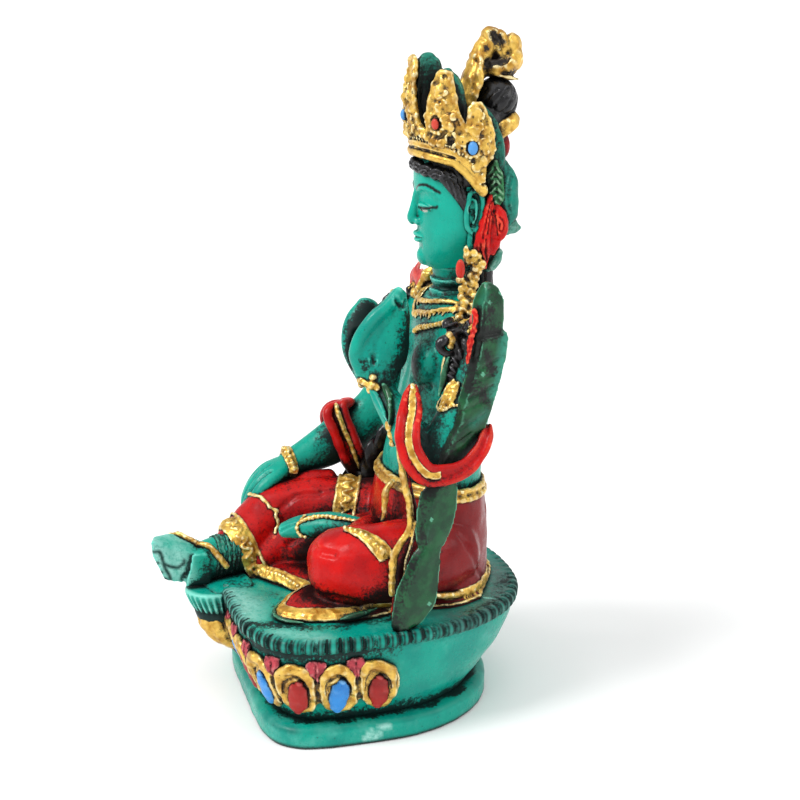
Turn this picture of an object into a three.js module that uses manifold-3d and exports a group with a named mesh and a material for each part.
// Seated tara figure on a lotus plinth: one painted resin casting, so one closed body.
// Millimetres, +Z up. The figure looks toward -Y and its own left side is +X.
// The origin is on the flat underside, below the upright axis of the seat.
import * as THREE from "three";
import { mergeVertices } from "three/addons/utils/BufferGeometryUtils.js";
import Module from "manifold-3d";

// Plinth plans: half width, where the two halves of the plan meet, reach forward and back,
// and how square the front and the back are (2 is an ellipse).
const RIM = { half: 41.5, mid: -8, front: 31.5, back: 54.5, frontPower: 3.3, backPower: 2.4 };
const SLAB_SETBACK = 3.5;
const SLAB = {
  half: RIM.half - SLAB_SETBACK, mid: -1.7, front: 32.8, back: 39, frontPower: 4.8, backPower: 2.1,
};
const PLAN_STEPS = 36;
// Plinth heights: slab edge, groove above it, underside of the rim, floor of the seat.
const SLAB_EDGE = 5.2;
const SLAB_TOP = 6.5;
const GROOVE_TOP = 8.4;
const RIM_BOTTOM = 29.6;
const FLOOR = 33.2;
const RIM_TEETH = 82;
const TOOTH_DEPTH = 1.0;
// Lotus petals round the front of the plinth.
const PETALS = 12;
const PETAL_PITCH = 10.7;
const BACK_STEPS = 16;
// Small lotus under the right foot.
const STEP = { x: -9, y: -41.3, radius: 8, top: 30.4 };
// Head: the upright axis it turns on, and how far it turns to the figure's right.
const HEAD_AXIS = { x: 0, y: 30 };
const HEAD_TURN = 6;
// Crown: radii at its foot, band height in front, drop toward the ears, five leaf tips.
const CROWN = { halfWidth: 14.2, front: 11.2, foot: 155.2, drop: 8.6, thick: 2.2, reach: 112 };
const CROWN_TIPS = [182.3, 178.2, 171.8];
const CROWN_VALLEYS = [167.2, 165];
const LEAF_ANGLE = 48;
// Topknot: ball of hair and the jewel on top.
const BUN = { y: 10.2, z: 170.6, radius: 6 };
const TOP_OF_FIGURE = 190;
// Slivers left where forms meet are cleared below this size.
const SMALLEST_FACET = 0.25;
// Lotus stems beside the arms stand this far in from the rim.
const STEM_INSET = 4.5;
const STEM_X = RIM.half - STEM_INSET;

const v = (x, y, z) => new THREE.Vector3(x, y, z);
const radians = THREE.MathUtils.degToRad;

// A closed skin over rings of points that all have the same count, ends closed by a fan.
function skin(rings) {
  const count = rings[0].length;
  const points = rings.flat().map((p) => p.clone());
  const faces = [];
  for (let r = 0; r + 1 < rings.length; r++)
    for (let i = 0; i < count; i++) {
      const j = (i + 1) % count;
      const [a, b] = [r * count + i, r * count + j];
      faces.push(a, b, b + count, a, b + count, a + count);
    }
  const close = (start, flip) => {
    const middle = v(0, 0, 0);
    for (let i = 0; i < count; i++) middle.addScaledVector(points[start + i], 1 / count);
    points.push(middle);
    for (let i = 0; i < count; i++) {
      const [a, b] = [start + i, start + ((i + 1) % count)];
      faces.push(points.length - 1, flip ? b : a, flip ? a : b);
    }
  };
  close(0, true);
  close((rings.length - 1) * count, false);
  const geometry = new THREE.BufferGeometry().setFromPoints(points);
  geometry.setIndex(faces);
  return geometry;
}

// A rounded limb. Each station is x, y, z, half width, half thickness; the width lies along
// `across`. Round ends are added, `sides` is the count of points round it.
function limb(stations, { across = [1, 0, 0], sides = 7, ends = 0.8 } = {}) {
  const wide = v(...across);
  const rings = [];
  const last = stations.length - 1;
  stations.forEach((p, i) => {
    const before = stations[Math.max(i - 1, 0)];
    const after = stations[Math.min(i + 1, last)];
    const along = v(after[0] - before[0], after[1] - before[1], after[2] - before[2]).normalize();
    const side = wide.clone().addScaledVector(along, -wide.dot(along)).normalize();
    const up = v(0, 0, 0).crossVectors(along, side);
    const ring = (scale, shift) => Array.from({ length: sides }, (_, k) => {
      const turn = (2 * Math.PI * (k + 0.5)) / sides;
      return v(p[0], p[1], p[2])
        .addScaledVector(side, p[3] * scale * Math.cos(turn))
        .addScaledVector(up, p[4] * scale * Math.sin(turn))
        .addScaledVector(along, shift);
    });
    const reach = ends * Math.min(p[3], p[4]);
    if (i === 0) rings.push(ring(0.6, -0.85 * reach));
    rings.push(ring(1, 0));
    if (i === last) rings.push(ring(0.6, 0.85 * reach));
  });
  return skin(rings);
}

// A ball stretched to three half sizes, turned by degrees about x, y, z in that order.
function ball([x, y, z], [rx, ry, rz], { turn = [0, 0, 0], sides = 7, rows = 5 } = {}) {
  const geometry = new THREE.SphereGeometry(1, sides, rows);
  geometry.rotateX(Math.PI / 2).scale(rx, ry, rz);
  geometry.rotateX(radians(turn[0])).rotateY(radians(turn[1])).rotateZ(radians(turn[2]));
  return geometry.translate(x, y, z);
}

// A band round a limb or the body: an ellipse of half sizes a, b in a tilted plane.
function hoop([x, y, z], [a, b], [wide, thick], { turn = [0, 0, 0], around = 12, sides = 4 } = {}) {
  const geometry = new THREE.TorusGeometry(1, 0.5, sides, around);
  const position = geometry.attributes.position;
  for (let i = 0; i < position.count; i++) {
    const p = v(0, 0, 0).fromBufferAttribute(position, i);
    const angle = Math.atan2(p.y, p.x);
    const out = (Math.hypot(p.x, p.y) - 1) * 2 * thick;
    position.setXYZ(i, (a + out) * Math.cos(angle), (b + out) * Math.sin(angle), p.z * 2 * wide);
  }
  geometry.rotateX(radians(turn[0])).rotateY(radians(turn[1])).rotateZ(radians(turn[2]));
  return geometry.translate(x, y, z);
}

// A flat piece: an outline in x and y raised from one height to another.
function slab(outline, low, high) {
  return skin([low, high].map((z) => outline.map(([x, y]) => v(x, y, z))));
}

const mirrored = (geometry) => geometry.clone().scale(-1, 1, 1);
const both = (geometry) => [geometry, mirrored(geometry)];

// The plan of the plinth, part of the way from the slab (0) to the rim (1), drawn in by `inset`.
function planPoint(turn, mix, inset) {
  const at = (key) => SLAB[key] + mix * (RIM[key] - SLAB[key]);
  const forward = Math.sin(turn) < 0;
  const power = 2 / (forward ? at("frontPower") : at("backPower"));
  const reach = (forward ? at("front") : at("back")) - inset;
  const bent = (value) => Math.sign(value) * Math.abs(value) ** power;
  return [(at("half") - inset) * bent(Math.cos(turn)), at("mid") + reach * bent(Math.sin(turn))];
}

// Where on the plan a walk from the middle of the front has come after a distance in mm.
function planWalk(mix, inset) {
  const turnOf = (i) => -Math.PI / 2 + (2 * Math.PI * i) / 2000;
  const walked = [0];
  for (let i = 1; i <= 2000; i++) {
    const [p, q] = [planPoint(turnOf(i - 1), mix, inset), planPoint(turnOf(i), mix, inset)];
    walked.push(walked[i - 1] + Math.hypot(q[0] - p[0], q[1] - p[1]));
  }
  const total = walked[2000];
  const turnAt = (distance) => {
    const d = ((distance % total) + total) % total;
    const i = walked.findIndex((w) => w > d);
    return turnOf(i - 1 + (d - walked[i - 1]) / (walked[i] - walked[i - 1]));
  };
  return { total, turnAt };
}

function plinth() {
  const slabTurns = Array.from({ length: PLAN_STEPS }, (_, i) => (2 * Math.PI * i) / PLAN_STEPS);
  const slabLevels = [[0, 0.6], [0.8, 0], [SLAB_EDGE, 0], [SLAB_TOP, 1.4]];
  const plate = skin(slabLevels.map(([z, inset]) =>
    slabTurns.map((turn) => v(...planPoint(turn, 0, inset), z))));

  // The bowl, with the row of petals pushed out of its front: how far at the edge, the
  // shoulder and the middle of a petal, for each height.
  const walk = planWalk(0.5, 3);
  const row = PETALS * PETAL_PITCH;
  const stops = [];
  for (let k = 0; k < 4 * PETALS; k++)
    stops.push({ turn: walk.turnAt(((k / 4) * PETAL_PITCH) - row / 2), column: [0, 1, 2, 1][k % 4] });
  for (let k = 0; k < BACK_STEPS; k++)
    stops.push({ turn: walk.turnAt(row / 2 + (k / BACK_STEPS) * (walk.total - row)), column: -1 });
  const bowlLevels = [
    [SLAB_TOP - 0.4, 0, 4.6, [0, 0, 0]], [GROOVE_TOP + 1, 0.15, 4, [0, 0.4, 0.8]],
    [14.4, 0.42, 2.8, [0, 2, 3]], [20, 0.72, 2, [0, 1.8, 2.6]], [24, 0.88, 1.7, [0, 0.6, 1.5]],
    [26.8, 0.95, 1.5, [0.5, 0, 0]], [RIM_BOTTOM, 1, 1.5, [0, 0, 0]], [FLOOR, 1, 4, [0, 0, 0]],
  ];
  const bowl = skin(bowlLevels.map(([z, mix, inset, relief]) => stops.map(({ turn, column }) =>
    v(...planPoint(turn, mix, inset - (column < 0 ? 0 : relief[column])), z))));

  const edge = planWalk(1, 0);
  const teeth = Array.from({ length: 2 * RIM_TEETH }, (_, i) =>
    planPoint(edge.turnAt((i * edge.total) / (2 * RIM_TEETH)), 1, i % 2 ? TOOTH_DEPTH : 0));
  return [plate, bowl, slab(teeth, RIM_BOTTOM, FLOOR - 0.2)];
}

function footLotus() {
  const { x, y, radius, top } = STEP;
  const ring = (z, r, notch, shift) => Array.from({ length: 20 }, (_, i) => {
    const turn = (2 * Math.PI * i) / 20;
    const reach = r - (i % 2 ? notch : 0);
    return v(x + shift * 0.45 + reach * Math.cos(turn), y + shift + reach * Math.sin(turn), z);
  });
  const cup = skin([
    ring(top - 6.5, radius - 2.4, 0.6, 1), ring(top - 1, radius, 0.8, 0), ring(top, radius - 0.6, 0.5, 0),
  ]);
  const calyx = limb([
    [x, y + 0.4, top - 4.5, 7, 7], [x + 2, y + 2, 20.5, 6, 6], [x + 4, y + 6, 15, 3.6, 3.6],
  ]);
  return [cup, calyx];
}

// Hips, belt and trunk as one stack of ovals: height, middle, half width, half depth.
function trunk() {
  const levels = [
    [31, 20, 27, 17], [46, 21.2, 24.6, 16.6], [56, 22, 21.6, 15.8], [56.8, 22.2, 22, 16.8],
    [59.8, 22.2, 21.8, 16.6], [60.6, 22.4, 18.4, 14.8], [70, 23, 17.2, 14], [80, 24.8, 18.4, 13.3],
    [92, 27.2, 21.4, 12.5], [103, 29, 24.2, 11.8], [110.5, 29.6, 23.5, 10.6], [114.6, 29.4, 17, 9.2],
    [118, 28.8, 8, 6.5],
  ];
  const body = skin(levels.map(([z, y, rx, ry]) => Array.from({ length: 14 }, (_, i) => {
    const turn = (2 * Math.PI * (i + 0.5)) / 14;
    return v(rx * Math.cos(turn), y + ry * Math.sin(turn), z);
  })));
  const folds = [116, 118.6, 119.6, 122, 123, 128];
  const neck = limb(folds.map((z, i) => [0, 28.3, z, 5.4 + 0.7 * (i % 2), 5.4 + 0.7 * (i % 2)]),
    { ends: 0.1 });
  const breasts = both(ball([9, 18.5, 99.5], [6.2, 4.4, 6.4], { turn: [-10, 0, 0] }));
  return [body, neck, ...breasts];
}

function necklaces() {
  const collar = hoop([0, 27.4, 115.4], [13.2, 9], [1.4, 1.3], { turn: [8, 0, 0], around: 12 });
  const chain = limb([
    [-12, 20.6, 112, 1.3, 1.2], [-6.5, 17.8, 108.4, 1.3, 1.2], [0, 16.6, 106.6, 1.5, 1.4],
    [6.5, 17.8, 108.4, 1.3, 1.2], [12, 20.6, 112, 1.3, 1.2],
  ], { across: [0, 0, 1], sides: 6 });
  return [collar, chain];
}

// Everything of the head is made facing -Y about its own axis, then turned.
function onHead(geometries) {
  const turn = radians(-HEAD_TURN);
  return geometries.map((g) => g.rotateZ(turn).translate(HEAD_AXIS.x, HEAD_AXIS.y, 0));
}

function face() {
  // Height, front, back and half width of the skull, front to back measured from the head's axis.
  const levels = [
    [124.4, -5, 5, 5], [126.3, -9.8, 5, 6.2], [128.6, -11.3, 6.4, 8.4], [131.2, -10.8, 8, 9.8],
    [135, -11.6, 9.6, 11], [141, -11.7, 10.8, 11.7], [147.2, -12.9, 11.3, 11.9], [153, -12.6, 11, 11.4],
    [160, -8, 9, 8.6],
  ];
  const skull = skin(levels.map(([z, front, back, half]) => Array.from({ length: 12 }, (_, i) => {
    const turn = (2 * Math.PI * (i + 0.5)) / 12;
    const reach = (back - front) / 2;
    return v(half * Math.cos(turn), (front + back) / 2 + reach * Math.sin(turn), z);
  })));
  const nose = limb([
    [0, -12, 145.6, 1.1, 1], [0, -12.7, 141.4, 1.2, 1.2], [0, -13.5, 138.2, 2.1, 1.5],
  ], { sides: 6 });
  const lips = [ball([0, -11.6, 133.7], [2.7, 1.3, 0.8], { sides: 5, rows: 3 }),
    ball([0, -11.5, 132.3], [2.2, 1.3, 0.8], { sides: 5, rows: 3 })];
  const lids = both(ball([4.7, -10.7, 141.8], [2.9, 1.5, 1.4], { turn: [0, 0, 22], sides: 6, rows: 3 }));
  const ears = both(ball([11.5, 2.6, 143.4], [1.7, 3, 4.2], { turn: [0, 0, 8], sides: 6, rows: 4 }));
  const lobes = both(ball([11.3, 1.8, 136.6], [1.4, 1.9, 4], { sides: 5, rows: 3 }));
  return [skull, nose, ...lips, ...lids, ...ears, ...lobes];
}

function hair() {
  const cap = ball([0, 0.4, 152.6], [13, 12.6, 10.6], { turn: [16, 0, 0], sides: 10, rows: 5 });
  const mound = limb([[0, 3, 158, 9, 9], [0, 7, 164, 7.4, 7.4], [0, 10.5, 168, 5, 5]]);
  const temples = both(limb([
    [11.5, -6, 151, 2.4, 1.6], [12, -2.6, 147.6, 2.4, 1.4], [11.8, -1, 144, 1.6, 1],
  ], { across: [0, 1, 0], sides: 6 }));
  const nape = limb([
    [0, 9.5, 150, 9, 3.4], [0, 8.4, 138, 8.6, 3.2], [0, 5.4, 125, 7.4, 2.8], [0, 8.2, 113, 6.6, 2.8],
    [0, 10.4, 100, 3, 1.8],
  ], { sides: 6 });
  const bun = ball([0, BUN.y, BUN.z], [BUN.radius, BUN.radius, BUN.radius + 0.4], { sides: 9, rows: 5 });
  return [cap, mound, ...temples, nape, bun];
}

// The crown: a wall carried round the head whose top edge rises in five leaves.
function crown() {
  const { halfWidth, front, foot, drop, thick, reach } = CROWN;
  const steps = (2 * reach) / 8;
  const rings = [];
  for (let i = 0; i <= steps; i++) {
    const angle = -reach + (2 * reach * i) / steps;
    const away = Math.abs(angle) / LEAF_ANGLE;
    const leaf = Math.min(Math.round(away), 2);
    const off = Math.min(Math.abs(away - leaf) * 2, 1);
    const outer = away > leaf ? leaf : leaf - 1;
    const valley = CROWN_VALLEYS[Math.min(Math.max(outer, 0), 1)] - (away > 2 ? 9 * (away - 2) : 0);
    const peak = CROWN_TIPS[leaf];
    const top = valley + (peak - valley) * (1 - off ** 1.7) ** 0.9;
    const low = foot - drop * (Math.abs(angle) / reach) ** 1.6;
    const wall = (z, out) => {
      const turn = radians(angle - 90);
      return v((halfWidth + out) * Math.cos(turn), (front + 0.6 + out) * Math.sin(turn) - 0.2, z);
    };
    const bulge = (z) => 2 * Math.sin(Math.PI * Math.min((z - low) / 28, 1));
    const mid = low + 0.45 * (top - low);
    rings.push([
      wall(low, 1.1), wall(mid, bulge(mid) + 0.4), wall(top, bulge(top) - 0.3),
      wall(top, bulge(top) - thick * 0.7), wall(low, -thick),
    ]);
  }
  return [skin(rings)];
}

function topknot() {
  const leaf = limb([
    [0, 1.4, 166, 3.4, 2.4], [0, 1.8, 171, 5.4, 2.8], [0, 3, 177, 5, 2.8], [0, 5, 182.2, 2.2, 1.8],
  ], { sides: 6 });
  const { y, z } = BUN;
  const peak = TOP_OF_FIGURE;
  const small = { sides: 6, rows: 4 };
  const lumps = [
    ball([0, y - 2.4, peak - 4.8], [3.6, 3.4, 4.8], small),
    ball([0, y + 3.8, peak - 7.6], [4, 3.4, 4.4], small),
    ball([0, y + 0.6, peak - 8.6], [5.4, 3.6, 4.4], small),
    ball([0, y - 4.4, peak - 10.4], [3.8, 2.8, 4.6], small),
    ball([0, y + 4.4, peak - 12], [4.4, 2.4, 2.4], small),
  ];
  const band = hoop([0, y + 1.2, z - 7], [5.8, 4.8], [1.9, 1.5], { turn: [22, 0, 0] });
  const ribbon = ball([0, y + 2, z - 11], [5, 3, 4.8], small);
  return [leaf, ...lumps, band, ribbon];
}

// Ribbons, leaf and ear jewel beside each ear.
function earSide() {
  const sideways = { across: [0, 1, 0], sides: 6 };
  const plate = limb([
    [9, 6, 158, 3.6, 3], [10.2, 7, 147, 4.9, 4], [10, 4.6, 134, 3, 2.6],
  ], sideways);
  const ribbon = limb([
    [13.2, 4.4, 147, 1.6, 1.4], [13.7, 5, 138, 3, 1.8], [13.4, 4.6, 128, 2, 1.6],
  ], sideways);
  const leaf = ball([13.6, 5, 151.2], [1.8, 2.9, 5.4], { turn: [0, -6, 0], sides: 6, rows: 3 });
  const jewel = limb([
    [12.6, -1.4, 131.6, 2.4, 2.2], [14.8, -2.4, 124, 3.4, 3], [18.5, -2, 114, 2.4, 2.2],
  ], sideways);
  const coral = ball([16, -4.2, 127], [1.8, 1.7, 2.9], { sides: 6, rows: 3 });
  return [plate, ribbon, leaf, jewel, coral].flatMap(both);
}

// Locks on the shoulders and the armlets.
function shoulderWork() {
  const lock = limb([
    [22, 24, 113, 2.2, 2], [26.6, 20, 106, 2.4, 2], [28.4, 20, 97, 1.5, 1.4],
  ], { across: [0, 1, 0], sides: 6 });
  const curl = ball([25, 18, 105], [2.4, 2.6, 2.6], { sides: 6, rows: 4 });
  const armlet = ball([30, 18.6, 93], [2.6, 4, 4.2], { sides: 6, rows: 4 });
  return [lock, curl, armlet];
}

// Bracelets, armbands and hems are swellings between close stations of a limb.
function leftArm() {
  const upper = limb([
    [24, 28, 108.5, 6.6, 6.2], [28.5, 24.8, 99, 6.2, 6], [30.5, 19.6, 88, 6, 6], [31, 14.6, 78.6, 6, 6],
  ]);
  const fore = limb([
    [31, 14.8, 78, 6, 5.8], [25.5, 9, 84, 5.4, 5.2], [17.4, 4.8, 91.4, 4, 4], [16.6, 4.4, 92.2, 5, 5],
    [14.8, 3.6, 94.6, 4.8, 4.8], [14.2, 3.4, 95.4, 3.8, 3.8],
  ], { across: [0, 1, 0] });
  const palm = limb([
    [14.4, 3.6, 95.6, 4, 3.6], [12.6, 3, 101.4, 7.4, 4.4], [11.6, 5, 108.4, 8, 4.2],
    [11.4, 7.6, 115, 5.4, 3.4], [11.4, 9.2, 120.2, 2.4, 2.2],
  ], { across: [0, 1, 0.2] });
  const farLobe = limb([
    [9.5, 1.4, 97, 3.6, 3.2], [5, 0.4, 103.6, 5.2, 3.6], [2, 1.2, 110, 5, 3.2], [1, 3.4, 115.6, 3.2, 2.4],
  ], { across: [0, 1, 0.2] });
  return [upper, fore, palm, farLobe];
}

function rightArm() {
  const arm = limb([
    [-24, 28, 107, 6.6, 6.2], [-29, 24, 95, 6.2, 6], [-32, 18.4, 82, 6, 6], [-33, 13, 72.6, 6, 7.4],
    [-32.6, 1.4, 65.2, 5.8, 7.2], [-31.4, -8, 61.4, 4.8, 5.2], [-31.2, -9, 61.1, 5.8, 6.2],
    [-30.6, -11.6, 60.2, 5.6, 6], [-30.4, -12.4, 60, 4.4, 4.6],
  ]);
  const hand = limb([
    [-29.8, -13.4, 59.6, 4.6, 3.6], [-28.8, -19, 58, 6.6, 3.4], [-28, -23.6, 54.6, 6.8, 3],
    [-27.6, -26.4, 50, 6, 2.4], [-27.4, -27, 46.4, 4.6, 1.8],
  ]);
  const loop = hoop([4.6 - STEM_X, 6, 68.4], [7.3, 9.2], [2.8, 1.5], { turn: [58, 0, 4] });
  return [arm, hand, loop];
}

function legs() {
  const rightLeg = limb([
    [-13, 18, 47, 11, 11], [-18, 3.4, 49.4, 9.6, 9.2], [-18.4, 2.6, 49.5, 10.4, 10], [-20, -2.2, 49.8, 10.2, 9.8],
    [-20.4, -3, 49.9, 9.3, 9.1], [-24, -17.6, 48.4, 8.6, 8.4], [-22, -24, 44.6, 8.4, 8.4],
    [-18.8, -28.4, 41.6, 7.8, 8], [-18.2, -29.2, 41.2, 8.6, 8.8], [-15.6, -33, 40, 7.6, 8],
    [-14.8, -34, 39.6, 6.6, 7],
  ], { sides: 8 });
  const rightDrape = limb([
    [-16, 10, 40, 12, 8], [-18, -8, 39, 12, 9], [-17, -20, 38, 9, 8], [-14, -27, 37, 6.4, 5.6],
  ], { sides: 6 });
  const leftLeg = limb([
    [16, 22, 46, 11, 11], [20.8, 12, 46, 11, 12], [20, 1.4, 45.2, 11.2, 11.8], [20, 0.6, 45.2, 12, 12.6],
    [19, -4, 45, 11.8, 12.4], [18.8, -4.8, 44.9, 11, 11.6], [15.6, -10.4, 44.4, 10.2, 10.8],
  ], { sides: 10 });
  const leftShin = limb([[13, -10, 45, 8, 8], [4, -5, 44, 7.6, 8], [-4, 4, 45, 7, 7]],
    { across: [0, 0, 1], sides: 6 });
  const leftFoot = limb([
    [8, 1, 51, 3.6, 3], [2, -8, 51.4, 4.6, 3.6], [-2.6, -15.6, 50, 4.2, 3.2], [-5, -20.4, 48.6, 2.6, 2.2],
  ]);
  const lap = limb([[-16, 4, 44, 8, 8], [0, 1, 43, 9, 8], [14, 2, 43, 9, 8]],
    { across: [0, 1, 0], sides: 6 });
  const rightFoot = limb([
    [-14.6, -33, 39.6, 6.8, 6], [-14, -36.4, 39, 6.4, 5.6], [-13.8, -37, 38.9, 7.2, 6.4], [-13.2, -39, 38.6, 7, 6],
    [-12.6, -43, 38.4, 6.8, 5.2], [-12.6, -49.6, 38.8, 6.9, 4], [-13.6, -56.6, 39.6, 6, 2.6],
  ], { across: [0.35, 0, 1], ends: 0.4 });
  return [rightLeg, rightDrape, leftLeg, leftShin, leftFoot, lap, rightFoot];
}

// The skirt's hem lies on the seat as a flat cloth with a wavy edge.
function hem() {
  const outline = [
    [24, 30], [27.6, 22], [26.8, 8], [28.8, -2], [28.4, -14], [20, -26.6], [13, -23], [7.3, -18.8],
    [-1.7, -24], [-10, -30], [-20, -32], [-28, -26], [-31, -10], [-29, 5], [-28, 20], [-22, 33], [0, 40.5],
  ].reverse();
  return [slab(outline, FLOOR - 1, FLOOR + 2)];
}

// Lotus stem beside each arm: two low leaves, a long upper leaf and the flower at the shoulder.
// `rise` stretches the upper leaf, `x` is how far out the stem stands.
function lotusStem(x, rise) {
  const leaf = (stations) => limb(stations, { across: [0, 1, 0], sides: 6 });
  const up = (z) => 72.6 + (z - 72.6) * rise;
  const lowLeaf = leaf([
    [x - 0.5, 2.6, 32.4, 2.4, 2], [x + 0.4, 5.4, 39, 4.6, 2.4], [x + 1, 8.8, 47, 5, 2.6], [x + 1, 12, 54.6, 2.8, 2.2],
  ]);
  const midLeaf = leaf([
    [x + 1, 11.6, 54, 2.8, 2.2], [x + 1, 12.6, 61, 5, 2.6], [x + 0.6, 13.4, 69, 4.8, 2.6], [x, 15, 76.4, 2.4, 2],
  ]);
  const upLeaf = limb([
    [x - 1.4, 13.8, 72.6, 2.4, 2], [x - 1.2, 18.4, up(80), 4.6, 3.4], [x - 1.4, 22.4, up(89), 5.6, 4.4],
    [x - 2.4, 26.6, up(102), 6, 4.6], [x - 2.8, 28.2, up(111), 5.4, 4.2],
    [x - 3.2, 27.4, up(120), 5, 4], [x - 3.6, 27, up(124.6), 2.6, 2.2],
  ], { sides: 6 });
  const petalEdge = Array.from({ length: 12 }, (_, k) => {
    const turn = (Math.PI * (k + 0.5)) / 6;
    const reach = k % 2 ? 5 : 7.2;
    return [reach * Math.cos(turn), reach * Math.sin(turn) * 1.15];
  });
  const flower = slab(petalEdge, 0, 5).rotateX(Math.PI / 2).translate(x - 4.4, 26, up(112));
  return [lowLeaf, midLeaf, upLeaf, flower];
}

// The scarf loops over the left elbow and falls in front of the stem, which stands at `x`.
function scarf(x) {
  const nearLoop = limb([
    [x - 11.5, 9.6, 96, 2.6, 1.4], [x - 6.6, 5.8, 91.6, 3, 1.5], [x - 2.6, 4.8, 85.4, 3, 1.5],
    [x + 0.6, 6.8, 79.6, 3, 1.5], [x + 2.4, 12.4, 75.4, 3, 1.5], [x + 2.4, 18.6, 76.4, 3, 1.5],
    [x + 0.4, 24, 80, 3, 1.5], [x - 6, 26.4, 85, 2.8, 1.5],
  ], { across: [0, -0.6, 0.8], sides: 6 });
  const fall = limb([
    [x - 4, 5.6, 80, 1.6, 1.4], [x - 4, 7, 72, 1.6, 1.4], [x - 4, 8, 64, 1.6, 1.4],
    [x - 3.4, 7.2, 57, 1.6, 1.4], [x - 3, 4.4, 50.6, 1.7, 1.4], [x - 2.6, 2.4, 44, 1.7, 1.4],
    [x - 2.4, 1.6, 36, 1.8, 1.5],
  ], { across: [0, 1, 0], sides: 6 });
  return [nearLoop, fall];
}

const wasm = await Module();
wasm.setup();

function solid(geometry) {
  const bare = new THREE.BufferGeometry();
  bare.setAttribute("position", geometry.getAttribute("position").clone());
  if (geometry.index) bare.setIndex(geometry.index.clone());
  const merged = mergeVertices(bare, 1e-4);
  const vertProperties = new Float32Array(merged.attributes.position.array);
  const triVerts = new Uint32Array(merged.index.array).filter((_, i, all) => {
    const t = i - (i % 3);
    return all[t] !== all[t + 1] && all[t + 1] !== all[t + 2] && all[t] !== all[t + 2];
  });
  const made = new wasm.Manifold(new wasm.Mesh({ numProp: 3, vertProperties, triVerts }));
  if (made.volume() > 0) return made;
  for (let i = 0; i < triVerts.length; i += 3)
    [triVerts[i + 1], triVerts[i + 2]] = [triVerts[i + 2], triVerts[i + 1]];
  return new wasm.Manifold(new wasm.Mesh({ numProp: 3, vertProperties, triVerts }));
}

const pieces = [
  ...plinth(), ...footLotus(), ...trunk(), ...necklaces(),
  ...onHead([...face(), ...hair(), ...crown(), ...topknot(), ...earSide()]),
  ...both(shoulderWork()[0]), ...both(shoulderWork()[1]), ...both(shoulderWork()[2]),
  ...leftArm(), ...rightArm(), ...legs(), ...hem(),
  ...lotusStem(STEM_X, 1), ...lotusStem(STEM_X - 3, 0.86).map(mirrored), ...scarf(STEM_X),
];
const casting = pieces.map(solid).reduce((all, one) => all.add(one));

// Pockets sealed inside the casting are filled: only the outer skin is kept.
const shells = casting.simplify(SMALLEST_FACET).decompose();
const outerSkin = shells.reduce((most, one) => (one.volume() > most.volume() ? one : most));
const { vertProperties, triVerts } = outerSkin.getMesh();
const geometry = new THREE.BufferGeometry();
geometry.setAttribute("position", new THREE.BufferAttribute(new Float32Array(vertProperties), 3));
geometry.setIndex(new THREE.BufferAttribute(new Uint32Array(triVerts), 1));
geometry.computeVertexNormals();

const figure = new THREE.Mesh(
  geometry,
  new THREE.MeshStandardMaterial({ name: "painted_resin", color: 0x1fa487, roughness: 0.42 }),
);
figure.name = "tara_figure";

const group = new THREE.Group();
group.add(figure);
export default group;
